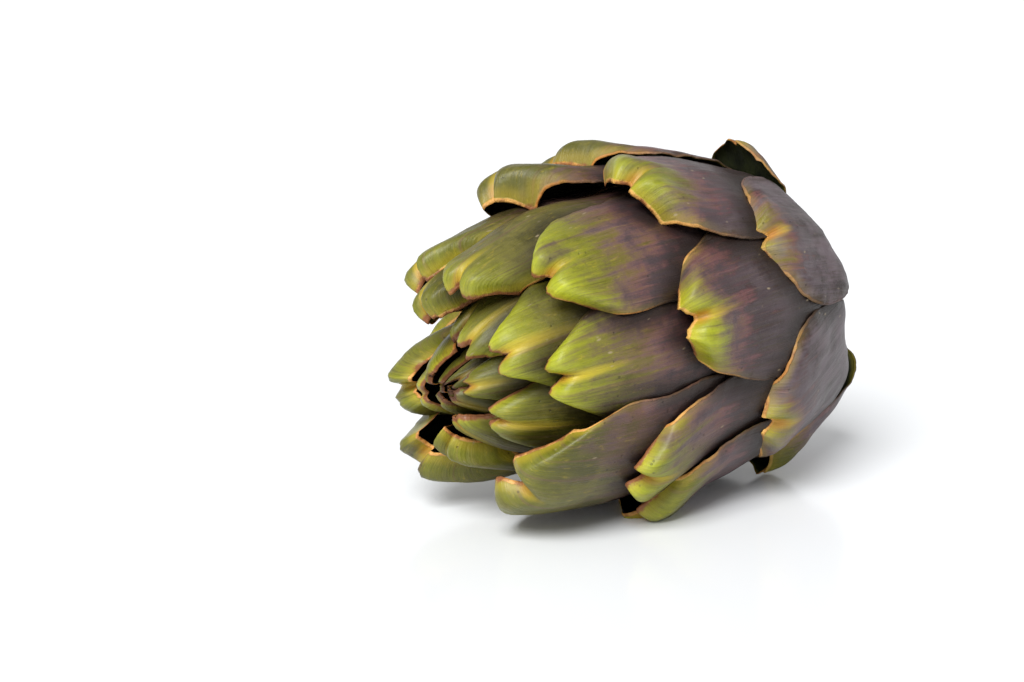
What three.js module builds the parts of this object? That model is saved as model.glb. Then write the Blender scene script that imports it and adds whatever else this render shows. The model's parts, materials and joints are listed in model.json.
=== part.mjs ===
// A globe artichoke head, picked and lying on its side.
//
// The head is its heart (the fleshy base, grown in one with a stub of the cut stem and the dome
// of florets on top) and overlapping bracts (the "leaves"), each a separate curved scale rooted
// on the heart. The bracts follow the plant's own spiral: each one is a golden angle round from
// the last and reaches a little nearer the tip.
//
// Everything is worked out in the head's own polar frame: the origin is the middle of the head,
// +Z points to its tip, "polar" is the angle from the tip and "azimuth" the angle round +Z.
// A surface is a distance from that origin for each direction, so bracts stack like the layers
// of an onion. Units are millimetres. The head is then laid on its side on the plane z = 0.
import * as THREE from "three";

// ---- Driving dimensions -------------------------------------------------------------------
const HALF_WIDTH = 45; // middle of the head to the outer bracts
const TIP_REACH = 60; // middle of the head to its tip
const BASE_REACH = 59; // middle of the head to the underside of its lowest bracts
const BLUNTNESS = 2.3; // 2 is an ellipse; higher is squarer at the shoulders

const BRACTS = 43; // places on the spiral, of which the first few are empty
const GOLDEN_ANGLE = 137.508; // degrees from each bract to the next, clockwise from the tip
const FIRST_AZIMUTH = 190.5;
const BRACT_HALF = 22.5; // half the width of the largest bracts
const STEM_SHARE = 0.35; // width of the bracts at the stem, as a share of the largest
const TIP_SHARE = 0.36; // and of those at the tip
const BRACT_SKIN = 1.3; // thickness of a bract's middle
const RIM_SKIN = 0.75; // and of its edge
const AIR = 0.45; // smallest gap between one bract and those under it
const ROOT_AIR = 1.3; // the same beside its root

const STEM_RADIUS = 11;
const STEM_END = -61; // the cut, just proud of the lowest bracts
const HEART_RADIUS = 24.5;
const HEART_TOP = -33;
const CHOKE_RADIUS = 18;
const CHOKE_TOP = 12;

const SLANT = 0.21; // how steeply the stem end leans: its upper side is nearer the tip
const NOSE_DOWN = 5; // degrees that the tip points below level as the head lies
const PRESSED = 0.8; // how far its weight presses the lowest bracts flat

// Rows run from a bract's root (0) to its tip (1), columns across it from edge to edge.
const ROWS = [0, 0.17, 0.34, 0.5, 0.65, 0.78, 0.88, 0.95, 1];
const COLUMNS = [-1, -0.64, -0.28, 0, 0.28, 0.64, 1];

// How single bracts differ from the regular spiral. turn and tip are in degrees, lift (how far
// the tip springs away from the head), hook (how far its end bends back in) and cup (how much
// its edges bend in) are in millimetres, and wide is a share of the usual width.
const HABITS = {
  4: { turn: -2, tip: 7, lift: 12, wide: 0.55 },
  5: { turn: -22, tip: -3, lift: 9, wide: 0.55 },
  7: { turn: -1, tip: 3, lift: -2, wide: 0.82 },
  9: { turn: -1, tip: -10, lift: 3 },
  10: { turn: -15, tip: 13, wide: 1 },
  12: { turn: -1, tip: -6, lift: 2 },
  13: { turn: 7, tip: -12 },
  15: { turn: 0, tip: 3 },
  17: { turn: 15, tip: 2, lift: 6, hook: 5, cup: 4 },
  18: { turn: -1, tip: 1 },
  20: { turn: 1, tip: -8, lift: 1 },
  21: { turn: 39, tip: -18, lift: 1, wide: 1.55 },
  22: { turn: -4, tip: -9, cup: 3 },
  23: { turn: 12, tip: -5 },
  24: { turn: 8, tip: -4, lift: 7, cup: 5 },
  25: { turn: 3, tip: -5, lift: 1, cup: 3 },
  26: { turn: -3, tip: 9, wide: 0.9 },
  27: { turn: 26, tip: 0, lift: 5, cup: 4 },
  28: { turn: 0, tip: -3 },
  29: { turn: 0, tip: -2 },
  30: { turn: -1, tip: 1, lift: 5, cup: 4 },
  35: { turn: 22, wide: 0.8 },
  38: { turn: 0, tip: 9, lift: 4, wide: 1.7 },
};

// ---- The spiral ---------------------------------------------------------------------------
const radians = THREE.MathUtils.degToRad;
const degrees = THREE.MathUtils.radToDeg;
const clamp = THREE.MathUtils.clamp;
const lerp = THREE.MathUtils.lerp;
const smooth = THREE.MathUtils.smoothstep;

const FIRST = 3; // the spiral is so small before this that nothing grows
const LAST = BRACTS - 1;
const FIRST_BIG = 7; // bracts before this one are the small ones round the stem
const BIG_TIP = 112; // polar angle of that bract's tip
const CLOSING = 2.1; // how quickly the tips close in on the axis

const LOW_ROOT = 167; // polar angle of the roots nearest the stem
const HIGH_ROOT = 143.5; // and of those nearest the tip

const regularTip = (i) =>
  BIG_TIP * ((BRACTS - i) / (BRACTS - FIRST_BIG)) ** CLOSING;
const rootPolar = (i) => lerp(LOW_ROOT, HIGH_ROOT, i / LAST);

// The bract whose tip, or root, would lie at a polar angle: the two functions above, inverted.
const tipAt = (polar) =>
  BRACTS - (BRACTS - FIRST_BIG) * (polar / BIG_TIP) ** (1 / CLOSING);
const rootAt = (polar) =>
  clamp(((LOW_ROOT - polar) / (LOW_ROOT - HIGH_ROOT)) * LAST, 0, BRACTS);

// ---- Surfaces of revolution that the bracts lie between -------------------------------------
function envelope(polar) {
  const along = Math.cos(radians(polar));
  const across = Math.sin(radians(polar)) / HALF_WIDTH;
  const reach = along > 0 ? TIP_REACH : BASE_REACH;
  return (
    (Math.abs(along / reach) ** BLUNTNESS + across ** BLUNTNESS) ** (-1 / BLUNTNESS)
  );
}

// The stem stub, the heart and the dome of florets that grows on it, from the cut upwards.
const HEART_PROFILE = [
  [0, STEM_END],
  [STEM_RADIUS - 1, STEM_END],
  [STEM_RADIUS, STEM_END + 1],
  [STEM_RADIUS, STEM_END + 7],
  [STEM_RADIUS + 3, STEM_END + 10],
  [HEART_RADIUS - 4, STEM_END + 16],
  [HEART_RADIUS, HEART_TOP - 4],
  [HEART_RADIUS - 0.5, HEART_TOP - 1],
  [HEART_RADIUS - 2.5, HEART_TOP],
  [CHOKE_RADIUS + 0.5, HEART_TOP + 1],
  [CHOKE_RADIUS, HEART_TOP + 8],
  [CHOKE_RADIUS - 1, HEART_TOP + 20],
  [CHOKE_RADIUS - 5, CHOKE_TOP - 10],
  [CHOKE_RADIUS - 11, CHOKE_TOP - 2],
  [0, CHOKE_TOP],
];

// The innermost surface that bracts may reach: the heart's side, then a slender cone to the tip.
const CORE_OUTLINE = [
  ...HEART_PROFILE.slice(3, 8),
  [CHOKE_RADIUS + 1, HEART_TOP + 10],
  [CHOKE_RADIUS + 0.5, 0],
  [CHOKE_RADIUS - 3, 20],
  [CHOKE_RADIUS - 9, 38],
  [4, 50],
  [0, TIP_REACH - 2],
].map(([radius, height]) => ({
  polar: degrees(Math.atan2(radius, height)),
  reach: Math.hypot(radius, height),
}));

function core(polar) {
  const outline = CORE_OUTLINE;
  for (let k = 0; k + 1 < outline.length; k++) {
    const [a, b] = [outline[k], outline[k + 1]];
    if (polar > b.polar)
      return lerp(b.reach, a.reach, clamp((polar - b.polar) / (a.polar - b.polar), 0, 1));
  }
  return outline.at(-1).reach;
}

// ---- One bract's shape ----------------------------------------------------------------------
function habitOf(i) {
  const usual = { turn: 0, tip: 0, lift: 0, hook: 1.2, cup: 2.2, wide: 1 };
  return { ...usual, ...HABITS[i] };
}

// Half the width of bract i where it is widest.
function halfWidth(i) {
  const pastStem = smooth(i, -4, FIRST_BIG + 1);
  const towardTip = smooth(i, FIRST_BIG + 3, BRACTS + 2);
  return BRACT_HALF * lerp(STEM_SHARE, 1, pastStem) * lerp(1, TIP_SHARE, towardTip);
}

// The outline: a narrow root, widest about the middle, and sides that curve in to a short end
// with a notch in it. Widths are shares of the greatest, and the notch's are of half the width.
const WIDEST = 0.55;
const ROOT_WIDTH = 0.3;
const END_WIDTH = 0.22;
const POINTEDNESS = 1.8;
const END_ROUNDING = 0.1;
const NOTCH_DEPTH = 0.12;
const NOTCH_WIDTH = 0.2;

function widthShare(u) {
  if (u < WIDEST) return lerp(ROOT_WIDTH, 1, Math.sin((u / WIDEST) * (Math.PI / 2)));
  return lerp(1, END_WIDTH, ((u - WIDEST) / (1 - WIDEST)) ** POINTEDNESS);
}

// The direction in which point (u, v) of the bract lies from the middle of the head.
function direction(bract, u, v) {
  const rounding = END_ROUNDING * v * v;
  const notch = NOTCH_DEPTH * Math.exp(-((v / NOTCH_WIDTH) ** 2));
  const back = degrees((bract.half * (rounding + notch)) / bract.reach) * u ** 5;
  const polar = radians(lerp(bract.root, bract.tip, u) + back);
  const aside = (v * bract.half * widthShare(u)) / bract.reach;
  const midline = new THREE.Vector3(Math.sin(polar), 0, Math.cos(polar));
  return midline
    .multiplyScalar(Math.cos(aside))
    .add(new THREE.Vector3(0, Math.sin(aside), 0))
    .applyAxisAngle(new THREE.Vector3(0, 0, 1), radians(bract.azimuth));
}

// How far bract i's outer face would be from the middle of the head, with nothing in its way.
function wantedReach(bract, u, v, toward) {
  const polar = degrees(Math.acos(clamp(toward.z, -1, 1)));
  const outermost = tipAt(polar);
  const innermost = polar > HIGH_ROOT ? rootAt(polar) : BRACTS;
  const layer = clamp(
    (bract.order - outermost) / Math.max(innermost - outermost, 1),
    -0.05,
    1,
  );
  const outside = envelope(polar);
  const inside = core(polar) + AIR + BRACT_SKIN;
  return (
    lerp(outside, inside, layer) +
    bract.habit.lift * smooth(u, 0.25, 1.05) -
    bract.habit.hook * smooth(u, 0.8, 1) -
    bract.habit.cup * v * v * smooth(u, 0.1, 0.8)
  );
}

function skin(u, v) {
  const edge = Math.max(v ** 4, u ** 12);
  return lerp(BRACT_SKIN, RIM_SKIN, edge);
}

// ---- Stacking ---------------------------------------------------------------------------------
const stacked = []; // one { axis, spread, triangles, corners } for each solid laid down so far
const SPREAD_SLACK = 0.02; // how much wider than its corners a solid's cone of directions is
const ray = new THREE.Ray();
const hit = new THREE.Vector3();

const mayCross = (solid, toward) => solid.axis.dot(toward) > solid.spread;

// Distance along a direction to the outermost of the solids already stacked, or 0.
function outermostAlong(toward) {
  let reach = 0;
  ray.direction.copy(toward);
  for (const solid of stacked) {
    if (!mayCross(solid, toward)) continue;
    for (const [a, b, c] of solid.triangles)
      if (ray.intersectTriangle(a, b, c, false, hit)) reach = Math.max(reach, hit.length());
  }
  return reach;
}

function stack(geometry) {
  const triangles = trianglesOf(geometry);
  const corners = triangles.flat();
  const axis = new THREE.Vector3();
  corners.forEach((p) => axis.addScaledVector(p, 1 / p.length()));
  axis.normalize();
  const spread = Math.min(...corners.map((p) => axis.dot(p) / p.length())) - SPREAD_SLACK;
  const apart = new Map(corners.map((p) => [p.toArray().map((x) => x.toFixed(3)).join(), p]));
  stacked.push({ axis, spread, triangles, corners: [...apart.values()] });
}

const grid = (make) => ROWS.map((u, j) => COLUMNS.map((v, k) => make(u, v, j, k)));

// The two flat triangles of each square of the grid, as [row, column] corners. They meet along
// the diagonal from the square's first corner.
const FACETS = [];
for (let j = 0; j + 1 < ROWS.length; j++)
  for (let k = 0; k + 1 < COLUMNS.length; k++) {
    FACETS.push([[j, k], [j, k + 1], [j + 1, k + 1]]);
    FACETS.push([[j, k], [j + 1, k + 1], [j + 1, k]]);
  }

// Points spread over a triangle, as how much each of its corners counts.
const STEPS = 4;
const SPREAD = [];
for (let a = 0; a <= STEPS; a++)
  for (let b = 0; a + b <= STEPS; b++)
    SPREAD.push([a / STEPS, b / STEPS, 1 - (a + b) / STEPS]);

// Every place where a bract must clear what lies under it: points of the bract over the stack,
// and corners of the stack under the bract.
const NEARBY = 0.9; // cosine of the widest angle that a corner under a triangle can make with it
function clearances(at) {
  const places = [];
  const barycentric = new THREE.Vector3();
  for (const facet of FACETS) {
    const [a, b, c] = facet.map(at);
    const middle = a.clone().add(b).add(c).normalize();
    const air = facet[0][0] === 0 ? ROOT_AIR : AIR;
    for (const shares of SPREAD) {
      const [x, y, z] = shares;
      const point = a.clone().multiplyScalar(x).addScaledVector(b, y).addScaledVector(c, z);
      places.push({ facet, shares, need: outermostAlong(point.normalize()) + air });
    }
    for (const { corners } of stacked.filter((solid) => mayCross(solid, middle)))
      for (const corner of corners) {
        ray.direction.copy(corner).normalize();
        if (middle.dot(ray.direction) < NEARBY) continue;
        if (!ray.intersectTriangle(a, b, c, false, hit)) continue;
        THREE.Triangle.getBarycoord(hit, a, b, c, barycentric);
        places.push({ facet, shares: barycentric.toArray(), need: corner.length() + air });
      }
  }
  return places;
}

// Lifts a bract off whatever lies under it. The first sweeps spread each lift to its neighbours,
// so that the bract runs smoothly over what it covers, and the last ones only clear it.
const ROUNDS = 4;
const SWEEPS = 14;
const SMOOTHING_SWEEPS = 8;
function rest(bract, wanted) {
  let lift = grid(() => 0);
  const at = ([j, k]) => {
    const reach = wanted[j][k] + lift[j][k] - skin(ROWS[j], COLUMNS[k]);
    return bract.toward[j][k].clone().multiplyScalar(reach);
  };
  for (let round = 0; round < ROUNDS; round++) {
    const places = clearances(at);
    for (let sweep = 0; sweep < SWEEPS; sweep++) {
      if (sweep < SMOOTHING_SWEEPS) lift = spreadOut(lift);
      for (const { facet, shares, need } of places) {
        const point = new THREE.Vector3();
        facet.forEach((corner, n) => point.addScaledVector(at(corner), shares[n]));
        const short = need - point.length();
        if (short <= 0) continue;
        const weight = shares.reduce((sum, share) => sum + share * share, 0);
        facet.forEach(([j, k], n) => (lift[j][k] += (short * shares[n]) / weight));
      }
    }
  }
  return grid((u, v, j, k) => wanted[j][k] + lift[j][k]);
}

function spreadOut(lift) {
  return grid((u, v, j, k) => {
    const near = [lift[j - 1]?.[k], lift[j + 1]?.[k], lift[j][k - 1], lift[j][k + 1]];
    const known = near.filter((x) => x !== undefined);
    const mean = known.reduce((sum, x) => sum + x, 0) / known.length;
    return 0.98 * lerp(lift[j][k], mean, 0.5);
  });
}

// ---- Meshes -----------------------------------------------------------------------------------
// A closed shell from its outer and inner points. Each square of the grid is cut the same way.
function shell(outer, inner) {
  const [rows, columns] = [outer.length, outer[0].length];
  const points = [...outer.flat(), ...inner.flat()];
  const out = (j, k) => j * columns + k;
  const inn = (j, k) => rows * columns + out(j, k);
  const faces = [];
  const square = (a, b, c, d) => faces.push(a, b, c, a, c, d);
  for (let j = 0; j + 1 < rows; j++)
    for (let k = 0; k + 1 < columns; k++) {
      square(out(j, k), out(j, k + 1), out(j + 1, k + 1), out(j + 1, k));
      square(inn(j, k), inn(j + 1, k), inn(j + 1, k + 1), inn(j, k + 1));
    }
  for (let k = 0; k + 1 < columns; k++) {
    const end = rows - 1;
    square(out(0, k), inn(0, k), inn(0, k + 1), out(0, k + 1));
    square(out(end, k), out(end, k + 1), inn(end, k + 1), inn(end, k));
  }
  for (let j = 0; j + 1 < rows; j++) {
    const end = columns - 1;
    square(out(j, 0), out(j + 1, 0), inn(j + 1, 0), inn(j, 0));
    square(out(j, end), inn(j, end), inn(j + 1, end), out(j + 1, end));
  }
  const geometry = new THREE.BufferGeometry().setFromPoints(points).setIndex(faces);
  geometry.computeVertexNormals();
  return geometry;
}

function trianglesOf(geometry) {
  const flat = geometry.toNonIndexed().getAttribute("position");
  const corner = (n) => new THREE.Vector3().fromBufferAttribute(flat, n);
  return Array.from({ length: flat.count / 3 }, (_, n) =>
    [0, 1, 2].map((c) => corner(3 * n + c)),
  );
}

function lathe(profile, segments) {
  const outline = profile.map(([radius, height]) => new THREE.Vector2(radius, height));
  return new THREE.LatheGeometry(outline, segments).rotateX(Math.PI / 2);
}

function material(color, roughness) {
  return new THREE.MeshStandardMaterial({ color, roughness, metalness: 0 });
}

// ---- The head -----------------------------------------------------------------------------------
const head = new THREE.Group();

function add(name, geometry, look) {
  const mesh = new THREE.Mesh(geometry, look);
  mesh.name = name;
  head.add(mesh);
}

const heartFlesh = material(0xb9bf86, 0.6);
const LOOKS = [
  { before: 9, look: material(0x8c827f, 0.5) }, // the basal bracts, greyed by their bloom
  { before: 20, look: material(0x8f8657, 0.4) }, // the outer ones, purple to olive
  { before: Infinity, look: material(0xa7a346, 0.4) }, // the inner ones, the greenest
];

const heart = lathe(HEART_PROFILE, 40);
add("heart", heart, heartFlesh);
stack(heart);

function makeBract(order) {
  const habit = habitOf(order);
  const bract = {
    order,
    habit,
    tip: Math.max(regularTip(order) + habit.tip, 0),
    root: rootPolar(order),
    azimuth: FIRST_AZIMUTH - GOLDEN_ANGLE * order + habit.turn,
    half: halfWidth(order) * habit.wide,
  };
  bract.reach = envelope((bract.tip + bract.root) / 2) - 4;
  bract.toward = grid((u, v) => direction(bract, u, v));
  const wanted = grid((u, v, j, k) => wantedReach(bract, u, v, bract.toward[j][k]));
  const reach = rest(bract, wanted);
  const outer = grid((u, v, j, k) =>
    bract.toward[j][k].clone().multiplyScalar(reach[j][k]),
  );
  const inner = grid((u, v, j, k) =>
    bract.toward[j][k].clone().multiplyScalar(reach[j][k] - skin(u, v)),
  );
  return shell(outer, inner);
}

for (let order = LAST; order >= FIRST; order--) {
  const geometry = makeBract(order);
  stack(geometry);
  const name = `bract_${String(order - FIRST + 1).padStart(2, "0")}`;
  add(name, geometry, LOOKS.find(({ before }) => order < before).look);
}

// ---- Laid on its side ---------------------------------------------------------------------------
// Leans the half of the head below its middle, more the nearer it is to the stem.
function lean(geometry) {
  const points = geometry.getAttribute("position");
  for (let n = 0; n < points.count; n++) {
    const depth = Math.max(points.getZ(n) / STEM_END, 0);
    points.setZ(n, points.getZ(n) + SLANT * depth ** 2 * points.getX(n));
  }
}

const layOver = new THREE.Matrix4().makeRotationY(radians(-90 - NOSE_DOWN));
for (const { geometry } of head.children) {
  lean(geometry);
  geometry.applyMatrix4(layOver);
}

const sizeNow = () => new THREE.Box3().setFromObject(head, true);
const floor = sizeNow().min.z + PRESSED;
for (const { geometry } of head.children) {
  const points = geometry.getAttribute("position");
  for (let n = 0; n < points.count; n++) points.setZ(n, Math.max(points.getZ(n), floor));
}

const middle = sizeNow().getCenter(new THREE.Vector3());
head.position.set(-middle.x, -middle.y, -floor);

export default head;
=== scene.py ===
# A globe artichoke head lying on its side: forty waxy bracts, each with its own notched tip,
# round a heart with a stub of cut stem.
#
# Every bract of the frame is a closed shell made of an outer and an inner grid of points. The
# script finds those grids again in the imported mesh, runs a smooth surface through them and
# gives it what the plain shell lacks: lobes with a notch between them, glossy swellings beside
# the midrib, curled and ragged margins, and a thin round edge. Shapes are worked out in
# millimetres and stored in metres.
import bpy
import json
import math
import numpy as np
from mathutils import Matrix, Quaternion, Vector
from mathutils.kdtree import KDTree


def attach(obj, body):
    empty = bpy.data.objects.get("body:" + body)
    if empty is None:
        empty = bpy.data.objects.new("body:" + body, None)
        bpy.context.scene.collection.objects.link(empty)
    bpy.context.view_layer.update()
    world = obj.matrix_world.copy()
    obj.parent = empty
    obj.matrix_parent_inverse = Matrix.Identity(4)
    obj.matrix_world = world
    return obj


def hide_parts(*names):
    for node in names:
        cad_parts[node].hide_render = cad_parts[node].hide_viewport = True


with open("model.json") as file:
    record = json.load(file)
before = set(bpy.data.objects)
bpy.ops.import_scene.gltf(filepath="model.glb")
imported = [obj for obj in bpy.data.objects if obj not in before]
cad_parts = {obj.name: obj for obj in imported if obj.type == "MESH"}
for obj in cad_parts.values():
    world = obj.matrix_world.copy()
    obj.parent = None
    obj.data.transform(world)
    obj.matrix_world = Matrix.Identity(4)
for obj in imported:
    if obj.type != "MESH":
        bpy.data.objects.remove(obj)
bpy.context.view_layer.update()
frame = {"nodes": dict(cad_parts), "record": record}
MM = 0.001

# ---- The heart of the frame ----------------------------------------------------------------------
def heart_poles():
    """The middle of the cut and the top of the florets: the two corners where most faces meet."""
    mesh = frame["nodes"]["heart"].data
    places = np.array([v.co for v in mesh.vertices])
    points, same = np.unique(np.round(places, 6), axis=0, return_inverse=True)
    same = same.reshape(-1)
    meeting = np.bincount([same[v] for p in mesh.polygons for v in p.vertices])
    ends = points[np.argsort(meeting)[-2:]] / MM
    return points / MM, ends[np.argmax(ends[:, 0])], ends[np.argmin(ends[:, 0])]


HEART_POINTS, CUT, FLORETS_TOP = heart_poles()
HEAD_BELOW = 61  # from the middle of the head to the cut
HEAD_ABOVE = 12  # and from there to the top of the florets
MIDDLE = FLORETS_TOP + (CUT - FLORETS_TOP) * HEAD_ABOVE / (HEAD_ABOVE + HEAD_BELOW)

# ---- The grids of the frame's bracts -------------------------------------------------------------
# Shares of a bract's length from its root, and of its half width from its midline.
ROWS = np.array([0, 0.17, 0.34, 0.5, 0.65, 0.78, 0.88, 0.95, 1])
COLUMNS = np.array([-1, -0.64, -0.28, 0, 0.28, 0.64, 1])


def shell_triangles():
    """Triangles of a bract's shell, as numbers of its corners: the outer grid, then the inner."""
    rows, columns = len(ROWS), len(COLUMNS)
    out = np.arange(rows * columns).reshape(rows, columns)
    inn = out + rows * columns
    found = []

    def square(a, b, c, d):
        found.extend([(a, b, c), (a, c, d)])

    for j in range(rows - 1):
        for k in range(columns - 1):
            square(out[j, k], out[j, k + 1], out[j + 1, k + 1], out[j + 1, k])
            square(inn[j, k], inn[j + 1, k], inn[j + 1, k + 1], inn[j, k + 1])
    for k in range(columns - 1):
        square(out[0, k], inn[0, k], inn[0, k + 1], out[0, k + 1])
        square(out[-1, k], out[-1, k + 1], inn[-1, k + 1], inn[-1, k])
    for j in range(rows - 1):
        square(out[j, 0], out[j + 1, 0], inn[j + 1, 0], inn[j, 0])
        square(out[j, -1], inn[j, -1], inn[j + 1, -1], out[j + 1, -1])
    return [tuple(int(n) for n in triangle) for triangle in found]


SHELL = shell_triangles()


def far_corners(triangles):
    """For each edge in a triangle's own direction, the triangle's third corner."""
    return {(t[i], t[i - 2]): t[i - 1] for t in triangles for i in range(3)}


def corner_counts(triangles):
    counts = {}
    for corner in (n for t in triangles for n in t):
        counts[corner] = counts.get(corner, 0) + 1
    return counts


def spread_names(edge, image, known, seen):
    """Carries the names of one edge's ends over the whole mesh, or gives None where they clash."""
    (known_far, known_counts), (seen_far, seen_counts) = known, seen
    names = dict(zip(edge, image))
    waiting, done = [edge, edge[::-1]], set()
    while waiting:
        a, b = waiting.pop()
        if (a, b) in done:
            continue
        done.add((a, b))
        far, match = known_far[a, b], seen_far.get((names[a], names[b]))
        if match is None or names.setdefault(far, match) != match:
            return None
        if known_counts[far] != seen_counts[match]:
            return None
        waiting += [(far, b), (a, far)]
    return names


WRONG_WAY = 1000  # more than any thickness


def misfit(grids):
    """How wrong a pair of grids is. A shell's triangles can be named in several ways, turned and
    rolled over its edges: in the right one the faces lie close together, the outer one outside,
    and the root is the end nearer to the stem."""
    thick = np.linalg.norm(grids[0] - grids[1], axis=-1).mean()
    ends = np.linalg.norm(grids.mean(axis=(0, 2))[[0, -1]] - CUT, axis=1)
    reach = np.linalg.norm(grids - MIDDLE, axis=-1).mean(axis=(1, 2))
    return thick + WRONG_WAY * (ends[0] > ends[1]) + WRONG_WAY * (reach[0] < reach[1])


def bract_grids(node):
    """The outer and inner points of a bract of the frame, in millimetres: two 9 x 7 grids."""
    mesh = frame["nodes"][node].data
    places = np.array([v.co for v in mesh.vertices])
    points, same = np.unique(np.round(places, 6), axis=0, return_inverse=True)
    same = same.reshape(-1)
    faces = [tuple(int(same[v]) for v in p.vertices) for p in mesh.polygons]
    known = far_corners(SHELL), corner_counts(SHELL)
    seen = far_corners(faces), corner_counts(faces)
    edge = SHELL[0][:2]
    counts = tuple(known[1][n] for n in edge)
    found = []
    for image in seen[0]:
        if tuple(seen[1][n] for n in image) != counts:
            continue
        names = spread_names(edge, image, known, seen)
        if names and len(set(names.values())) == 2 * len(ROWS) * len(COLUMNS):
            order = [names[n] for n in range(len(names))]
            found.append(points[order].reshape(2, len(ROWS), len(COLUMNS), 3) / MM)
    return min(found, key=misfit)


# ---- Smooth curves through the grid --------------------------------------------------------------
def spline_weights(knots, places):
    """What each knot's value counts for at the places, on a natural cubic spline."""
    count, steps = len(knots), np.diff(knots)
    left, right = np.eye(count), np.zeros((count, count))
    for i in range(1, count - 1):
        before, after = steps[i - 1], steps[i]
        left[i, i - 1 : i + 2] = before, 2 * (before + after), after
        right[i, i - 1 : i + 2] = 6 / before, -6 / before - 6 / after, 6 / after
    bend = np.linalg.solve(left, right)
    i = np.clip(np.searchsorted(knots, places) - 1, 0, count - 2)
    width = steps[i]
    b = (places - knots[i]) / width
    a = 1 - b
    weights = a[..., None] * np.eye(count)[i] + b[..., None] * np.eye(count)[i + 1]
    weights += ((a**3 - a) * width**2 / 6)[..., None] * bend[i]
    weights += ((b**3 - b) * width**2 / 6)[..., None] * bend[i + 1]
    return weights


def smooth(low, high, x):
    s = np.clip((x - low) / (high - low), 0, 1)
    return s * s * (3 - 2 * s)


def bell(x, width):
    return np.exp(-((x / width) ** 2))


WAVE_PACE = 1.9  # each octave's waves are that many times shorter than the last one's
WAVE_FADE = 1.6  # and that many times lower
WAVE_TOTAL = 1.8  # about as high as the octaves add up to


def waves(dice, x, longest, octaves=3):
    """A wavy line between about -1 and 1, its longest waves as long as given."""
    total = np.zeros_like(x, dtype=float)
    for n in range(octaves):
        pace = 2 * math.pi / longest * WAVE_PACE**n * dice.uniform(0.8, 1.2)
        total += np.sin(x * pace + dice.uniform(0, 2 * math.pi)) / WAVE_FADE**n
    return total / WAVE_TOTAL


# ---- How each bract looks ------------------------------------------------------------------------
# What the words stand for, with lengths in millimetres:
#   lift    how far its end stands off the head
#   hook    how far its tip curls in
#   roll    how far its margins curl in
#   notch   depth of the notch in its tip
#   swell   height of the bulges beside the notch
#   puff    how far its whole end swells
#   ragged  unevenness of the tip's edge
#   blunt   how much shorter it is than the plain shell, which leaves its end wider
#   round   how far its corners are cut back
#   flare   how much wider its end is, as a share
#   glow    how light its green is, 0 to 1, and how strong the painted highlight on its swellings is
#   purple  how far along it the purple reaches, as a share of its length
#   bloom   its grey wax, 0 to 1
#   streak  length of the yellow streak behind the notch
#   brown   how far from the tip it is withered
#   inner   how light the painted shade on its inner face is, 0 to 1
OUTERMOST = {
    "lift": 1.0, "hook": 3.0, "roll": 1.6, "notch": 1.4, "swell": 1.1, "ragged": 0.4,
    "blunt": 2.6, "round": 3.6, "puff": 1.6, "flare": 0.2, "glow": 0.5,
    "purple": 0.8, "bloom": 0.6, "streak": 12.0, "brown": 0.3, "inner": 0.25,
}
INNERMOST = {
    "lift": 0.3, "hook": 1.8, "roll": 1.2, "notch": 0.6, "swell": 0.5, "ragged": 0.5,
    "blunt": 0.2, "round": 1.5, "puff": 0.5, "flare": 0.5, "glow": 0.5,
    "purple": 0.35, "bloom": 0.2, "streak": 20.0, "brown": 2.0, "inner": 0.15,
}
BASAL = {
    "purple": 0.93, "bloom": 0.95, "streak": 7.0, "swell": 0.5, "puff": 0.6,
    "blunt": 1.0, "flare": 0.0,
}
# Lightest green, with the strongest painted highlight on the swellings.
LIME_HIGHLIGHTED = {"glow": 1.0, "hook": 4.0, "round": 5.0, "flare": 0.4}
HOODED = {
    "lift": 1.5, "hook": 8.0, "roll": 6.0, "notch": 1.8, "brown": 0.4,
    "blunt": 1.5, "round": 3.5, "flare": 0.5,
}
BROAD = {"swell": 1.2, "puff": 1.4, "round": 4.0, "flare": 0.8}

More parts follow.
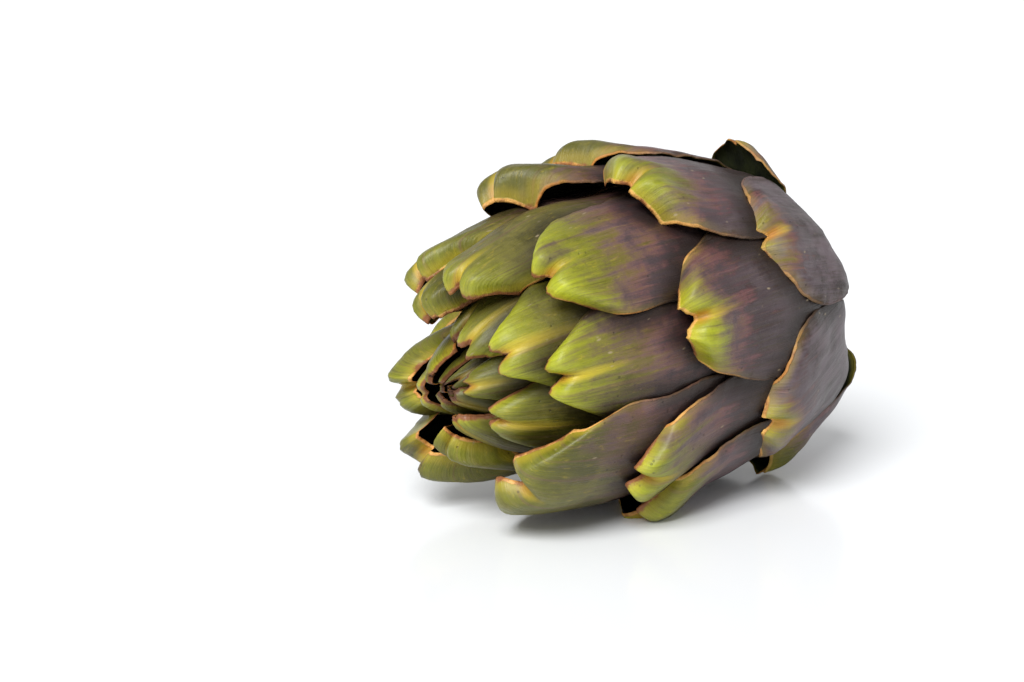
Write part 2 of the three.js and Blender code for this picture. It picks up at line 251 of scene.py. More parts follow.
# Bracts that differ from the usual run from outermost to innermost, most to follow the photo.
HABITS = {
    1: BASAL,
    2: {**BASAL, "hook": 0.5, "roll": 0.6, "notch": 0.8, "inner": 0.7},
    3: {
        **BASAL, "lift": -1.5, "hook": 0.5, "roll": 3.5, "notch": 0.8, "purple": 0.6,
        "inner": 0.7,
    },
    4: BASAL,
    5: {**BASAL, "notch": 2.0, "streak": 9.0},
    6: BASAL,
    7: {"glow": 0.15, "purple": 0.66},
    8: {**BASAL, "notch": 1.8, "purple": 0.88, "streak": 10.0},
    10: {"notch": 1.6, "swell": 1.6, "glow": 0.55, "purple": 0.8, "streak": 10.0},
    11: {"lift": 2.5, "hook": 2.8, "notch": 1.8, "glow": 0.5, "purple": 0.74},
    13: {"notch": 3.4, "swell": 1.6, "ragged": 0.7, "glow": 0.9, "purple": 0.84, "streak": 16.0},
    15: {
        "lift": 2.0, "hook": 4.4, "roll": 3.2, "notch": 2.0, "blunt": 1.5, "flare": 0.0,
        "glow": 0.2, "purple": 0.72,
    },
    16: {"lift": 1.8, "notch": 2.2, "swell": 1.5, "glow": 0.7, "purple": 0.8},
    18: {**LIME_HIGHLIGHTED, "notch": 1.2, "swell": 1.8, "purple": 0.78, "streak": 11.0},
    19: {
        "lift": 2.4, "hook": 3.6, "roll": 2.0, "notch": 2.6, "glow": 0.3, "purple": 0.74,
        "streak": 8.0,
    },
    20: {"hook": 4.0, "roll": 3.0, "blunt": 2.0, "round": 5.0, "glow": 0.35, "purple": 0.62},
    21: {**LIME_HIGHLIGHTED, "notch": 1.6, "swell": 1.5, "purple": 0.82, "streak": 24.0},
    22: {**HOODED, "ragged": 1.3, "glow": 0.3},
    23: {"hook": 3.6, "roll": 2.6, "swell": 1.4, "glow": 0.5, "purple": 0.56},
    25: {**HOODED, "ragged": 1.4, "glow": 0.4},
    26: {**BROAD, "blunt": 2.5, "glow": 1.0, "purple": 0.5, "streak": 34.0},
    27: {
        "lift": 1.5, "hook": 6.0, "roll": 4.0, "ragged": 1.0, "blunt": 1.0, "round": 3.5,
        "glow": 0.35, "brown": 0.4,
    },
    28: {
        "lift": 1.5, "hook": 6.0, "roll": 3.0, "ragged": 0.8, "blunt": 2.0, "round": 5.0,
        "glow": 0.4,
    },
    29: {**BROAD, "blunt": 2.0, "glow": 0.5, "purple": 0.55, "streak": 30.0},
    31: {
        "puff": 1.2, "blunt": 2.0, "round": 3.0, "flare": 0.9, "glow": 0.6, "purple": 0.45,
        "streak": 28.0,
    },
    34: {
        "puff": 1.0, "blunt": 1.0, "round": 2.5, "flare": 1.0, "glow": 0.6, "purple": 0.3,
        "streak": 16.0,
    },
    36: {"lift": 1.0, "hook": 2.8, "roll": 2.2, "ragged": 1.0, "round": 4.0, "brown": 1.6},
}
BRACTS = sorted(n for n in frame["nodes"] if n.startswith("bract_"))
SLOTS = {s["node"]: s["material_slot"] for s in frame["record"]["subparts"]}


def habit_of(number):
    share = (number - 1) / (len(BRACTS) - 1)
    usual = {k: OUTERMOST[k] + (INNERMOST[k] - OUTERMOST[k]) * share for k in OUTERMOST}
    return {**usual, **HABITS.get(number, {})}


# ---- One bract's surface -------------------------------------------------------------------------
ROW_COUNT = 64  # points along a bract
COLUMN_COUNT = 45  # and across it
TIP_CROWDING = 0.3  # how much closer together the rows are towards the tip
SIDE_CROWDING = 0.25  # and the columns towards the sides
EDGE_SKIN = 0.5  # thickness of its edge
EDGE_BULGE = 0.45  # how far the edge is rounded out, as a share of its thickness
THINNING = 3.5  # how far from the edge it starts to get thinner
NOTCH_REACH = 0.42  # half the notch's width, as a share of half the bract's
NOTCH_CURVE = 1.3  # above 1, so that the notch's sides steepen towards its bottom
TOOTH_LENGTH = 0.7  # of the longest waves of the ragged edge, in the same shares
FLARE_START, FLARE_FULL = 0.7, 0.97  # shares of the length
SWELL_BACK, SWELL_LENGTH = 5.5, 5.0  # middle of the swellings behind the edge, and their length
PUFF_BACK, PUFF_LENGTH = 8, 7.5  # and of the puff


def outline(habit, dice, across, length):
    """How far each column runs along the bract, as a share of its length."""
    aside = np.abs(across)
    notch = habit["notch"] * np.maximum(0, 1 - aside / NOTCH_REACH) ** NOTCH_CURVE
    teeth = habit["ragged"] * waves(dice, across, TOOTH_LENGTH, 4) * smooth(1.05, 0.6, aside)
    corners = habit["round"] * smooth(0.4, 1.15, aside)
    return 1 - (habit["blunt"] + notch + corners + teeth) / length


def shape_of(habit, dice, back, side, margin, half):
    """How far the surface stands off the plain one. back is the distance from the tip's edge,
    side from the midline and margin from the side edge, and half is half the width there."""
    near_tip = smooth(32, 4, back)
    lift = habit["lift"] * smooth(26, 2, back)
    beside = (np.abs(side) - 0.42 * half - 0.8) / (0.3 * half + 1)
    swell = habit["swell"] * bell(back - SWELL_BACK, SWELL_LENGTH) * bell(beside, 1)
    crown = np.maximum(0, 1 - (side / (half + 0.5)) ** 2)
    puff = habit["puff"] * bell(back - PUFF_BACK, PUFF_LENGTH) * crown
    groove = 0.6 * habit["swell"] * bell(side, 0.5 + 0.06 * back) * smooth(22, 1, back)
    rib = 0.25 * bell(side, 1.1) * smooth(16, 34, back)
    hook, roll = habit["hook"], habit["roll"]
    hook = hook * np.clip(1 - back / (2 + hook), 0, 1) ** 2
    roll = roll * np.clip(1 - margin / (3 + roll), 0, 1) ** 1.8 * (0.25 + 0.75 * near_tip)
    along_edge = waves(dice, back + 40 * np.sign(side), 11) * bell(margin, 3)
    uneven = waves(dice, back + 0.4 * side, 24) * waves(dice, side * 1.3 + 5, 17)
    ribs = waves(dice, side, 4.5, 2) * smooth(0, 8, back)
    return (
        lift + puff + swell - groove + rib - hook - roll
        + 0.28 * along_edge + 0.3 * uneven + 0.035 * ribs
    )


def running_length(points, axis):
    steps = np.linalg.norm(np.diff(points, axis=axis), axis=-1)
    total = np.cumsum(steps, axis=axis)
    return np.concatenate([np.zeros_like(total.take([0], axis)), total], axis=axis)


def bract_surface(number, node):
    """The bract's outer and inner points, and what its skin depends on at each of them."""
    habit = habit_of(number)
    dice = np.random.default_rng(number)
    outer, inner = bract_grids(node)
    even = np.linspace(-1, 1, COLUMN_COUNT)
    across = even * (1 + SIDE_CROWDING - SIDE_CROWDING * even**2)
    even = np.linspace(0, 1, ROW_COUNT)
    along = even * (1 + TIP_CROWDING - TIP_CROWDING * even)
    length = running_length(outer[:, len(COLUMNS) // 2], 0)[-1]
    share = along[:, None] * outline(habit, dice, across, length)

    wider = 1 + habit["flare"] * smooth(FLARE_START, FLARE_FULL, share)
    across_weights = spline_weights(COLUMNS, across * wider)
    along_weights = spline_weights(ROWS, share)

    def surface(grid):
        return np.einsum("abj,abk,jkx->abx", along_weights, across_weights, grid)

    plain, under = surface(outer), surface(inner)
    inward = under - plain
    thick = np.linalg.norm(inward, axis=-1, keepdims=True)
    inward = inward / thick

    run = running_length(plain, 0)
    back = run[-1] - run
    wide = running_length(plain, 1)
    side = wide - wide[:, COLUMN_COUNT // 2][:, None]
    half = np.maximum(wide[:, -1:] / 2, 0.5)
    margin = np.minimum(wide, wide[:, -1:] - wide)

    off = shape_of(habit, dice, back, side, margin, half)
    over = plain - inward * off[..., None]
    edge = np.minimum(margin, back)
    thin = smooth(0, THINNING, edge)[..., None]
    under = over + inward * (EDGE_SKIN + (thick - EDGE_SKIN) * thin)
    skin = {
        "along": share,
        "edge": edge,
        "back": back,
        "side": side,
        "spread": np.abs(side) / half,
    }
    return habit, over, under, skin


def ring_of(rows, columns):
    """The border of a grid, all the way round, as rows and columns."""
    top = [(0, k) for k in range(columns)]
    right = [(j, columns - 1) for j in range(1, rows)]
    bottom = [(rows - 1, k) for k in range(columns - 2, -1, -1)]
    left = [(j, 0) for j in range(rows - 2, 0, -1)]
    return top + right + bottom + left


def rim_points(over, under, ring):
    """Points halfway through the edge, pushed out to round it."""
    rows, columns = over.shape[:2]
    middle = (over + under) / 2
    found = []
    for j, k in ring:
        inside = middle[min(max(j, 1), rows - 2), min(max(k, 1), columns - 2)]
        outward = middle[j, k] - inside
        outward = outward / np.linalg.norm(outward)
        found.append(middle[j, k] + outward * EDGE_SKIN * EDGE_BULGE)
    return np.array(found)


def closed_faces(rows, columns, ring):
    """Quads of the outer grid, the inner grid and the two strips that join them at the rim."""
    out = np.arange(rows * columns).reshape(rows, columns)
    inn = out + rows * columns
    rim = 2 * rows * columns
    faces = []
    for j in range(rows - 1):
        for k in range(columns - 1):
            faces.append((out[j, k], out[j, k + 1], out[j + 1, k + 1], out[j + 1, k]))
            faces.append((inn[j, k], inn[j + 1, k], inn[j + 1, k + 1], inn[j, k + 1]))
    for n, here in enumerate(ring):
        m = (n + 1) % len(ring)
        there = ring[m]
        faces.append((out[there], out[here], rim + n, rim + m))
        faces.append((rim + m, rim + n, inn[here], inn[there]))
    return faces


RING = ring_of(ROW_COUNT, COLUMN_COUNT)
FACES = closed_faces(ROW_COUNT, COLUMN_COUNT, RING)


def new_piece(name, points, faces):
    mesh = bpy.data.meshes.new(name)
    mesh.from_pydata(points.tolist(), [], faces)
    mesh.polygons.foreach_set("use_smooth", [True] * len(mesh.polygons))
    piece = bpy.data.objects.new(name, mesh)
    bpy.context.scene.collection.objects.link(piece)
    return piece


def store(piece, name, values):
    attribute = piece.data.attributes.new(name, "FLOAT", "POINT")
    attribute.data.foreach_set("value", np.asarray(values, np.float32).ravel())


def lay_fibres(piece, side, along):
    """A UV map in metres, across and along the fibres."""
    layer = piece.data.uv_layers.new(name="fibres")
    corners = np.zeros(len(piece.data.loops), int)
    piece.data.loops.foreach_get("vertex_index", corners)
    places = np.stack([side, along], axis=-1)[corners] * MM
    layer.data.foreach_set("uv", places.astype(np.float32).ravel())


PAINTED_SHADE_REACH = 9.0  # how far from an overlying rim the painted shade reaches
PAINTED_SHADE_FULL = 0.5  # how far from it the painted shade is darkest
FIBRE_SHIFT = 60  # between the fibre patterns of one bract and the next
LOOKS = ("purple", "bloom", "streak", "brown", "inner", "glow")  # habits that the material reads


def painted_shade_near_rims(over, rims):
    """Painted shade under the bracts that lie over this one: how close each point of the outer face
    is to their rims, 0 to 1.
    """
    close = KDTree(sum(len(rim) for rim in rims))
    for n, point in enumerate(point for rim in rims for point in rim):
        close.insert(point, n)
    close.balance()
    away = np.array([close.find(point)[2] for point in over.reshape(-1, 3)])
    return smooth(PAINTED_SHADE_REACH, PAINTED_SHADE_FULL, away).reshape(over.shape[:2])


def make_bract(node, rims):
    """Makes a bract, given the rims of those already made, and gives back its own."""
    number = int(node.split("_")[1])
    habit, over, under, skin = bract_surface(number, node)
    rim = rim_points(over, under, RING)
    # painted shade near the rims of the bracts that lie over this one
    skin["painted_shade"] = painted_shade_near_rims(over, rims) if rims else 0 * skin["edge"]
    points = np.concatenate([over.reshape(-1, 3), under.reshape(-1, 3), rim])
    points[:, 2] = np.maximum(points[:, 2], 0)
    piece = new_piece(node.replace("bract", "leaf"), points * MM, FACES)

    picked = tuple(np.array(RING).T)
    for name, values in skin.items():
        both = np.concatenate([values.ravel(), values.ravel(), values[picked]])
        store(piece, name, both)
        skin[name] = both
    inside = [np.zeros(over[..., 0].size), np.ones(under[..., 0].size), np.full(len(rim), 0.5)]
    store(piece, "inside", np.concatenate(inside))
    for name in LOOKS:
        store(piece, name, np.full(len(points), habit[name]))
    lay_fibres(piece, skin["side"] + FIBRE_SHIFT * number, skin["back"])
    piece.data.materials.append(MATERIALS[SLOTS[node]])
    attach(piece, "root")
    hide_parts(node)
    return rim


# ---- Materials -----------------------------------------------------------------------------------
def colour(code):
    """A colour for a shader from its usual six-figure code."""
    parts = [int(code[i : i + 2], 16) / 255 for i in (0, 2, 4)]
    return [p / 12.92 if p <= 0.04045 else ((p + 0.055) / 1.055) ** 2.4 for p in parts] + [1]


class Shader:
    """A node material, built by short calls that each return a node's output."""

    def __init__(self, name):
        self.material = bpy.data.materials.new(name)
        self.material.use_nodes = True
        self.tree = self.material.node_tree
        self.surface = self.tree.nodes["Principled BSDF"]

    def node(self, kind, inputs=(), output=0, **settings):
        made = self.tree.nodes.new(kind)
        for key, value in settings.items():
            setattr(made, key, value)
        for key, value in dict(inputs).items():
            self.plug(made.inputs[key], value)
        return made.outputs[output]

    def plug(self, socket, value):
        if isinstance(value, bpy.types.NodeSocket):
            self.tree.links.new(value, socket)
        else:
            socket.default_value = value

    def attribute(self, name):
        return self.node("ShaderNodeAttribute", attribute_name=name, output="Fac")

    def math(self, operation, a, b=0.0):
        return self.node("ShaderNodeMath", {0: a, 1: b}, operation=operation)

    def times(self, a, b):
        return self.math("MULTIPLY", a, b)

    def plus(self, a, b):
        return self.math("ADD", a, b)

    def ramp(self, value, low, high, first=0.0, last=1.0):
        inputs = {"Value": value, "From Min": low, "From Max": high}
        inputs.update({"To Min": first, "To Max": last})
        return self.node("ShaderNodeMapRange", inputs, interpolation_type="SMOOTHSTEP")

    def mix(self, share, a, b):
        made = self.tree.nodes.new("ShaderNodeMix")
        made.data_type = "RGBA"
        for key, value in (("Factor_Float", share), ("A_Color", a), ("B_Color", b)):
            self.plug(next(s for s in made.inputs if s.identifier == key), value)
        return next(s for s in made.outputs if s.identifier == "Result_Color")

    def stretched(self, x, y):
        """The fibres' own coordinates, with that many grains to a metre across and along."""
        uv = self.node("ShaderNodeUVMap", uv_map="fibres")
        scale = self.node("ShaderNodeCombineXYZ", {"X": x, "Y": y})
        return self.node("ShaderNodeVectorMath", {0: uv, 1: scale}, operation="MULTIPLY")

    def noise(self, place, scale, detail=4.0, roughness=0.55, distortion=0.0):
        inputs = {"Vector": place, "Scale": scale, "Detail": detail}
        inputs.update({"Roughness": roughness, "Distortion": distortion})
        return self.node("ShaderNodeTexNoise", inputs)

    def cells(self, place, scale):
        return self.node("ShaderNodeTexVoronoi", {"Vector": place, "Scale": scale})


PURPLE_DARK = colour("220f12")
PURPLE = colour("48282b")
MAUVE = colour("6d4446")
BLOOM = colour("7b6d74")
OLIVE = colour("69641c")
OLIVE_DARK = colour("454213")
LIME = colour("878b14")
# bright lime of the painted highlight on the swellings
HIGHLIGHT_LIME = colour("c0c730")
YELLOW = colour("c9ae34")
ORANGE = colour("bd7630")
PEACH = colour("e0a75c")
BROWN = colour("86532f")
# the painted shade on the inner faces, from its darkest to its palest
INNER_SHADE_DARKEST = colour("0f130a")
INNER_SHADE_PALEST = colour("3a401c")
# near-black of the painted shade where a bract goes under another
PAINTED_SHADE_DARK = colour("1c120e")
SCAR = colour("a08f74")
PIT = colour("1d1210")


class Skin(Shader):
    """A bract's material, with the places and the textures that its layers share."""

    def __init__(self, slot):
        super().__init__(slot)
        self.along, self.edge = self.attribute("along"), self.attribute("edge")
        self.back = self.attribute("back")
        self.side, self.spread = self.attribute("side"), self.attribute("spread")
        self.place = self.node("ShaderNodeTexCoord", output="Object")
        self.mottle = self.noise(self.place, 110.0, 6.0, 0.68)
        self.cloud = self.noise(self.place, 30.0, 3.0)
        self.fibre = self.noise(self.stretched(1500.0, 60.0), 1.0, 5.0, 0.7)
        self.feather = self.noise(self.stretched(420.0, 30.0), 1.0, 6.0, 0.7, 0.4)
        self.veins = self.noise(self.stretched(520.0, 12.0), 1.0, 3.0, 0.6)
        self.fine = self.noise(self.place, 900.0, 3.0)


def purple_zone(s):
    """Where the skin is purple, and where deeply so: it reaches further at the sides, and is
    feathered along the fibres."""
    reach = s.plus(s.attribute("purple"), s.times(s.math("POWER", s.spread, 3.0), 0.14))
    ragged = s.plus(s.times(s.plus(s.feather, -0.5), 0.6), s.times(s.plus(s.cloud, -0.5), 0.5))
    ragged = s.plus(ragged, s.times(s.plus(s.mottle, -0.5), 0.45))
    past = s.plus(s.plus(reach, ragged), s.times(s.along, -1.0))
    return s.ramp(past, -0.14, 0.16), s.ramp(past, 0.02, 0.42)


def green_ground(s, glow, green):
    """Olive, lime towards the tip, with light and dark flecks."""
    light = s.plus(s.mottle, s.times(s.plus(glow, -0.5), 0.25))
    olive = s.mix(s.ramp(light, 0.38, 0.64), OLIVE_DARK, OLIVE)
    tip = s.ramp(s.plus(s.back, s.times(s.plus(s.cloud, s.feather), 14.0)), 34.0, 16.0)
    lime = s.times(tip, s.times(s.ramp(glow, 0.0, 1.0, 0.1, 1.0), green))
    skin = s.mix(lime, olive, LIME)
    fleck = s.noise(s.stretched(900.0, 260.0), 1.0, 4.0, 0.75)
    skin = s.mix(s.times(s.ramp(fleck, 0.54, 0.72), 0.3), skin, YELLOW)
    return s.mix(s.times(s.ramp(fleck, 0.46, 0.3), 0.45), skin, OLIVE_DARK)


def purple_layer(s, skin, purple, deep):
    shade = s.plus(s.times(deep, 0.5), s.times(s.plus(s.feather, s.mottle), 0.5))
    violet = s.mix(s.ramp(shade, 0.38, 0.8), MAUVE, PURPLE)
    violet = s.mix(s.ramp(shade, 0.55, 0.9), violet, PURPLE_DARK)
    skin = s.mix(s.times(purple, s.ramp(s.fibre, 0.25, 0.55, 0.7, 1.0)), skin, violet)
    veined = s.times(s.ramp(s.veins, 0.52, 0.68), s.ramp(purple, 0.0, 1.0, 0.4, 0.15))
    return s.mix(veined, skin, MAUVE)


def weathering(s, skin, purple):
    """Grey wax, pale and dark fibres, and dark blotches."""
    bloom = s.attribute("bloom")
    wax = s.times(bloom, s.ramp(s.plus(s.mottle, s.times(s.feather, 0.6)), 0.62, 1.0))
    skin = s.mix(s.times(wax, s.ramp(purple, 0.0, 1.0, 0.25, 0.75)), skin, BLOOM)
    skin = s.mix(s.times(s.ramp(s.fibre, 0.52, 0.75), 0.18), skin, SCAR)
    skin = s.mix(s.times(s.ramp(s.fibre, 0.48, 0.28), 0.45), skin, PURPLE_DARK)
    soot = s.times(s.ramp(s.plus(s.mottle, s.times(s.cloud, 0.5)), 0.72, 0.98), 0.4)
    return s.mix(soot, skin, PURPLE_DARK)


def swellings(s, glow):
    """Where the glossy swellings beside the notch are, and how strong the painted highlight on them
    is.
    """
    beside = s.times(s.ramp(s.spread, 0.05, 0.35), s.ramp(s.spread, 0.9, 0.4))
    behind = s.ramp(s.plus(s.back, s.times(s.plus(s.feather, s.cloud), 12.0)), 24.0, 10.0)
    bulge = s.times(beside, behind)
    bulge = s.times(bulge, s.ramp(s.plus(s.mottle, s.times(s.cloud, 0.6)), 0.4, 0.9))
    return bulge, s.times(s.ramp(glow, 0.1, 1.0), s.ramp(s.fibre, 0.3, 0.6, 0.6, 1.0))


def yellow_streak(s, skin):
    """The streak that widens from the midrib to the notch."""
    length = s.attribute("streak")
    run = s.math("DIVIDE", s.back, length)
    width = s.ramp(run, 0.0, 1.0, 2.4, 0.6)
    across = s.math("DIVIDE", s.math("ABSOLUTE", s.side), width)
    frayed = s.plus(across, s.times(s.plus(s.feather, -0.5), 2.0))
    core = s.ramp(frayed, 1.4, 0.1)
    streak = s.times(core, s.ramp(s.plus(run, s.times(s.fibre, 0.5)), 1.2, 0.3))
    hue = s.mix(s.ramp(s.plus(s.back, s.times(s.mottle, 5.0)), 6.5, 3.0), YELLOW, ORANGE)
    return s.mix(s.times(streak, 0.7), skin, hue)


def dry_rim(s, skin, rimmed):
    """The skin with its dry rim and, on inner bracts, a withered end. Then where the rim is, how
    strongly it shows, and its colour."""
    rim = s.ramp(s.plus(s.edge, s.times(s.plus(s.mottle, -0.5), 1.3)), 0.52, 0.15)
    border = s.ramp(s.plus(s.edge, s.times(s.plus(s.cloud, -0.5), 3.0)), 3.2, 0.6)
    near = s.times(s.ramp(s.plus(s.back, s.times(s.mottle, 12.0)), 26.0, 8.0, 0.1, 1.0), rimmed)
    skin = s.mix(s.times(s.times(border, near), 0.35), skin, YELLOW)
    dry = s.mix(s.ramp(s.mottle, 0.4, 0.62), PEACH, ORANGE)
    skin = s.mix(s.times(rim, near), skin, dry)
    withered = s.plus(s.attribute("brown"), s.times(s.plus(s.mottle, -0.6), 6.0))
    skin = s.mix(s.ramp(s.plus(s.back, s.times(withered, -1.0)), 0.4, -0.5), skin, BROWN)
    return skin, rim, near, dry


def painted_shade_layer(s, skin, purple):
    """Painted shade: the skin is darker where it goes under another bract, in place of the shadow
    that bract casts.
    """
    painted_shade = s.times(s.attribute("painted_shade"), s.ramp(s.mottle, 0.2, 0.6, 0.75, 1.0))
    return s.mix(s.times(painted_shade, s.ramp(purple, 0.0, 1.0, 0.75, 0.95)), skin, PAINTED_SHADE_DARK)


def scars_and_pits(s, skin):
    """The skin with pale scars and dark pits, and where the pits are."""
    spot = s.cells(s.stretched(330.0, 170.0), 1.0)
    some = s.ramp(s.noise(s.place, 190.0, 1.0), 0.5, 0.58)
    skin = s.mix(s.times(s.ramp(spot, 0.14, 0.05), s.times(some, 0.6)), skin, SCAR)
    pit = s.cells(s.place, 380.0)
    few = s.ramp(s.noise(s.place, 120.0, 1.0), 0.53, 0.6)
    pits = s.times(s.ramp(pit, 0.16, 0.06), s.times(few, 0.5))
    return s.mix(pits, skin, PIT), pits


def inner_face(s, rim, near, dry):
    """Painted shade: the inner face is painted dark, near black, in place of the shade in the
    hollow under the bract; its margin is not.
    """
    light = s.times(s.attribute("inner"), s.ramp(s.mottle, 0.3, 0.7))
    lining = s.mix(light, INNER_SHADE_DARKEST, INNER_SHADE_PALEST)
    lining = s.mix(s.ramp(s.plus(s.edge, s.times(s.mottle, 2.0)), 2.8, 1.0), lining, OLIVE)
    return s.mix(s.times(rim, near), lining, dry)


def relief(s, rim, pits):
    height = s.plus(s.times(s.fibre, 0.8), s.times(s.fine, 0.25))
    height = s.plus(height, s.plus(s.times(s.mottle, 0.9), s.times(pits, -1.0)))
    height = s.plus(height, s.plus(s.times(s.veins, 0.8), s.times(rim, s.times(s.fine, 1.5))))
    bump = {"Strength": 0.9, "Distance": 0.00035, "Height": height}
    return s.node("ShaderNodeBump", bump)


def bract_material(slot, waxy, green, rimmed):
    """Skin of a bract. waxy is its sheen, green how much lime it takes, rimmed how dry its rim."""
    s = Skin(slot)
    purple, deep = purple_zone(s)
    glow = s.attribute("glow")
    skin = green_ground(s, glow, green)
    skin = purple_layer(s, skin, purple, deep)
    skin = weathering(s, skin, purple)
    # the swellings get a painted highlight in bright lime
    bulge, highlight = swellings(s, glow)
    skin = s.mix(s.times(bulge, s.times(highlight, green)), skin, HIGHLIGHT_LIME)
    skin = yellow_streak(s, skin)
    skin, rim, near, dry = dry_rim(s, skin, rimmed)
    # painted shade where the skin goes under another bract
    skin = painted_shade_layer(s, skin, purple)
    skin, pits = scars_and_pits(s, skin)
    # painted shade on the inner face
    lining = inner_face(s, rim, near, dry)
    inside = s.ramp(s.attribute("inside"), 0.5, 0.9)
    s.plug(s.surface.inputs["Base Color"], s.mix(inside, skin, lining))

    rough = s.plus(s.ramp(s.mottle, 0.3, 0.75, 0.34, 0.52), s.times(purple, 0.05))
    rough = s.plus(s.plus(rough, s.times(bulge, -0.1)), s.times(s.plus(rim, inside), 0.2))
    s.plug(s.surface.inputs["Roughness"], rough)
    s.plug(s.surface.inputs["Normal"], relief(s, rim, pits))
    s.surface.inputs["Specular IOR Level"].default_value = 0.28
    s.surface.inputs["Coat Weight"].default_value = waxy
    s.surface.inputs["Coat Roughness"].default_value = 0.3
    return s.material


FLESH = colour("b9bd8a")
FLESH_GREEN = colour("7d8a4c")
FLESH_BROWN = colour("8b6f4a")


def heart_material():
    """The stem and the underside of the heart, and the cut, whose rim has dried brown."""
    s = Shader("heart")
    place = s.node("ShaderNodeTexCoord", output="Object")
    mottle = s.noise(place, 130.0, 5.0, 0.6)
    fibre = s.noise(s.stretched(700.0, 60.0), 1.0, 4.0, 0.6)
    depth, radius = s.attribute("depth"), s.attribute("radius")
    rind = s.mix(s.ramp(fibre, 0.35, 0.65), FLESH_GREEN, FLESH)
    rind = s.mix(s.times(s.ramp(mottle, 0.5, 0.75), 0.6), rind, FLESH_BROWN)
    strands = s.ramp(s.cells(place, 520.0), 0.3, 0.12)
    band = s.times(s.ramp(radius, 5.5, 7.0), s.ramp(radius, 9.4, 8.4))
    cut = s.mix(s.ramp(mottle, 0.35, 0.7), FLESH, s.mix(0.5, FLESH, FLESH_BROWN))
    cut = s.mix(s.times(band, strands), cut, FLESH_BROWN)
    cut = s.mix(s.ramp(s.plus(radius, mottle), 9.6, 10.8), cut, FLESH_BROWN)
    face = s.ramp(depth, 0.6, 0.25)
    s.plug(s.surface.inputs["Base Color"], s.mix(face, rind, cut))
    s.plug(s.surface.inputs["Roughness"], s.ramp(mottle, 0.3, 0.7, 0.5, 0.75))
    height = s.plus(s.times(fibre, s.ramp(face, 0.0, 1.0, 1.0, 0.2)), s.times(mottle, 0.6))
    bump = {"Strength": 0.8, "Distance": 0.0004, "Height": height}
    s.plug(s.surface.inputs["Normal"], s.node("ShaderNodeBump", bump))
    return s.material


MATERIALS = {
    "bract_basal": bract_material("bract_basal", waxy=0.05, green=0.45, rimmed=0.38),
    "bract_outer": bract_material("bract_outer", waxy=0.14, green=0.85, rimmed=0.8),
    "bract_inner": bract_material("bract_inner", waxy=0.16, green=1.0, rimmed=1.0),
    "heart": heart_material(),
}


# ---- The heart -----------------------------------------------------------------------------------
# Its profile, from the cut to the top of the florets: depth below the cut, radius.
HEART_PROFILE = np.array([
    (0, 0), (0, 10), (1, 11), (7, 11), (10, 14), (16, 20.5), (24, 24.5), (27, 24), (28, 22),
    (29, 18.5), (36, 18), (48, 17), (63, 13), (71, 7), (73, 0),
])
AROUND = 192  # points in a ring
HEART_STEP = 0.6  # between its rings
HEART_SMOOTHINGS = 3
HEART_FIBRES = 15  # radius at which its fibres have their true width
CUT_RADIUS = 10  # of its flat face, in the frame too
CUT_DISH = 0.5  # how far the middle of the cut is sunk


def heart_rings():
    """Depth and radius of each ring of the heart, evenly spaced along its profile."""
    steps = np.linalg.norm(np.diff(HEART_PROFILE, axis=0), axis=1)
    run = np.concatenate([[0], np.cumsum(steps)])
    places = np.linspace(0, run[-1], int(run[-1] / HEART_STEP))[1:-1]
    depth, radius = (np.interp(places, run, HEART_PROFILE[:, n]) for n in (0, 1))
    for _ in range(HEART_SMOOTHINGS):
        for values in (depth, radius):
            values[1:-1] = (values[:-2] + 2 * values[1:-1] + values[2:]) / 4
    return depth, radius, places


def heart_axes():
    """The heart's axis, up and sideways across it, and how much the cut leans from square."""
    axis = (FLORETS_TOP - CUT) / np.linalg.norm(FLORETS_TOP - CUT)
    up = np.array([0, 0, 1]) - axis * axis[2]
    up /= np.linalg.norm(up)
    aside = np.cross(axis, up)
    rim = HEART_POINTS[np.abs(np.linalg.norm(HEART_POINTS - CUT, axis=1) - CUT_RADIUS) < 1.5]
    rise, fall = (rim - CUT) @ up, (rim - CUT) @ axis
    return axis, up, aside, (fall @ rise) / (rise @ rise)


def heart_faces(rows):
    """Quads between the rings, and a fan of triangles at each pole."""
    grid = np.arange(rows * AROUND).reshape(rows, AROUND)
    after = np.roll(grid, -1, axis=1)
    quads = [grid[:-1], after[:-1], after[1:], grid[1:]]
    faces = np.stack(quads, axis=-1).reshape(-1, 4).tolist()
    start, end = rows * AROUND, rows * AROUND + 1
    faces += [(start, after[0, n], grid[0, n]) for n in range(AROUND)]
    faces += [(end, grid[-1, n], after[-1, n]) for n in range(AROUND)]
    return faces


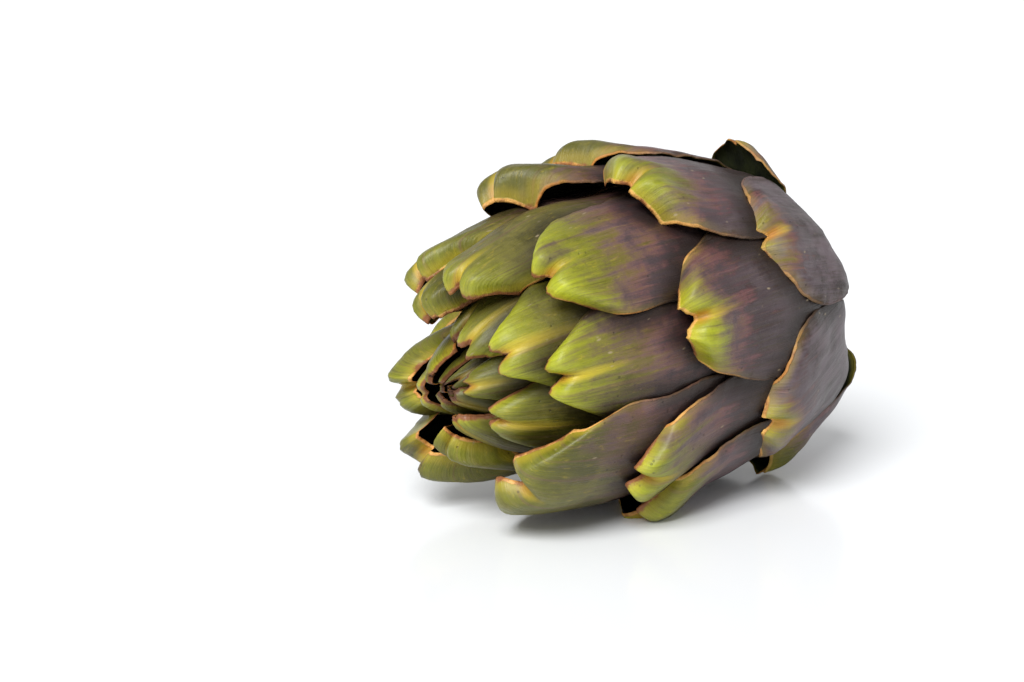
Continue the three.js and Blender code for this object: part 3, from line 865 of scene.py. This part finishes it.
def make_heart():
    """The heart, as rings round its axis: ridged along its sides, with a dished, uneven cut."""
    dice = np.random.default_rng(400)
    axis, up, aside, lean = heart_axes()
    depth, radius, run = heart_rings()
    turn = np.linspace(0, 2 * math.pi, AROUND, endpoint=False)
    depth, radius, run = (v[:, None] + 0 * turn for v in (depth, radius, run))
    ridges = waves(dice, np.sin(turn) * 4 + np.cos(3 * turn), 1.4) * 0.18
    ridges = ridges * smooth(9.0, 10.5, radius)
    pith = waves(dice, radius * np.cos(turn), 5) * waves(dice, radius * np.sin(turn), 6)
    sunk = 0.35 * smooth(10, 5, radius) * smooth(1.5, 0.5, depth) * (1 + pith)
    wide = radius + ridges
    rise = wide * np.cos(turn)
    near_cut = smooth(HEAD_BELOW, 0, depth) ** 2
    forward = depth + sunk + lean * rise * near_cut
    places = (
        CUT
        + forward[..., None] * axis
        + rise[..., None] * up
        + (wide * np.sin(turn))[..., None] * aside
    )
    poles = np.array([CUT + CUT_DISH * axis, FLORETS_TOP])
    points = np.concatenate([places.reshape(-1, 3), poles])
    piece = new_piece("heart_flesh", points * MM, heart_faces(len(places)))
    store(piece, "depth", np.append(depth.ravel(), [0, HEAD_BELOW + HEAD_ABOVE]))
    store(piece, "radius", np.append(radius.ravel(), [0, 0]))
    arc = np.append((turn * HEART_FIBRES + 0 * radius).ravel(), [0, 0])
    lay_fibres(piece, arc, np.append(run.ravel(), [0, run.max() + HEART_STEP]))
    piece.data.materials.append(MATERIALS["heart"])
    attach(piece, "root")
    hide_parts("heart")


# ---- Floor, light and camera ---------------------------------------------------------------------
FLOOR_REACH = 30.0  # metres, so that its far edge is close to the horizon
FLOOR_WHITE = (0.88, 0.9, 0.92, 1)
FLOOR_ROUGHNESS = 0.16
SKY_FADE_START, SKY_FADE_END = 0.1, 0.5  # how high a direction points, 0 level and 1 straight up

CAMERA_AZIMUTH = -43  # from the front, towards the head's tip
CAMERA_ELEVATION = 13
CAMERA_DISTANCE = 0.62
CAMERA_LENS = 85.5
AIM_ASIDE = 2.44  # how far right of the middle of the view the head lies, in degrees
AIM_ABOVE = 0.2  # and how far above it


def towards(azimuth, elevation):
    """A direction, from angles in degrees. Azimuth 0 is in front, along -Y."""
    a, e = math.radians(azimuth), math.radians(elevation)
    return Vector((math.sin(a) * math.cos(e), -math.cos(a) * math.cos(e), math.sin(e)))


def make_floor():
    edge = FLOOR_REACH
    corners = np.array([(-edge, -edge, 0), (edge, -edge, 0), (edge, edge, 0), (-edge, edge, 0)])
    floor = new_piece("floor", corners, [(0, 1, 2, 3)])
    look = Shader("floor")
    look.surface.inputs["Base Color"].default_value = FLOOR_WHITE
    look.surface.inputs["Roughness"].default_value = FLOOR_ROUGHNESS
    floor.data.materials.append(look.material)


def make_key(azimuth, elevation, spread, strength):
    """One very broad light from far off."""
    light = bpy.data.lights.new("key", "SUN")
    light.angle, light.energy = math.radians(spread), strength
    lamp = bpy.data.objects.new("key", light)
    lamp.rotation_mode = "QUATERNION"
    lamp.rotation_quaternion = (-towards(azimuth, elevation)).to_track_quat("-Z", "Y")
    bpy.context.scene.collection.objects.link(lamp)


def make_world(horizon, top):
    """Light from all round, white at the horizon and dimmer above."""
    world = bpy.data.worlds.new("studio")
    world.use_nodes = True
    tree = world.node_tree
    direction = tree.nodes.new("ShaderNodeTexCoord")
    parts = tree.nodes.new("ShaderNodeSeparateXYZ")
    fade = tree.nodes.new("ShaderNodeMapRange")
    fade.interpolation_type = "SMOOTHSTEP"
    settings = {"From Min": SKY_FADE_START, "From Max": SKY_FADE_END}
    settings.update({"To Min": horizon, "To Max": top})
    for key, value in settings.items():
        fade.inputs[key].default_value = value
    tree.links.new(direction.outputs["Generated"], parts.inputs["Vector"])
    tree.links.new(parts.outputs["Z"], fade.inputs["Value"])
    tree.links.new(fade.outputs["Result"], tree.nodes["Background"].inputs["Strength"])
    tree.nodes["Background"].inputs["Color"].default_value = (1, 1, 1, 1)
    bpy.context.scene.world = world


def make_camera(aim):
    back = towards(CAMERA_AZIMUTH, CAMERA_ELEVATION)
    camera = bpy.data.objects.new("camera", bpy.data.cameras.new("camera"))
    camera.data.lens = CAMERA_LENS
    camera.data.sensor_width = 36
    camera.location = aim + back * CAMERA_DISTANCE
    turn = Quaternion((0, 1, 0), math.radians(AIM_ASIDE))
    tilt = Quaternion((1, 0, 0), math.radians(-AIM_ABOVE))
    camera.rotation_mode = "QUATERNION"
    camera.rotation_quaternion = (-back).to_track_quat("-Z", "Y") @ turn @ tilt
    bpy.context.scene.collection.objects.link(camera)
    bpy.context.scene.camera = camera


# ---- The scene -----------------------------------------------------------------------------------
rims = []
for node in BRACTS:  # from the stem to the tip, so that each is made after those that lie over it
    rims.append(make_bract(node, rims))
make_heart()
make_floor()
make_world(horizon=1.0, top=0.38)
make_key(azimuth=-62, elevation=47, spread=34, strength=4.0)
make_camera(Vector(MIDDLE * MM))
bpy.context.scene.view_settings.view_transform = "Standard"
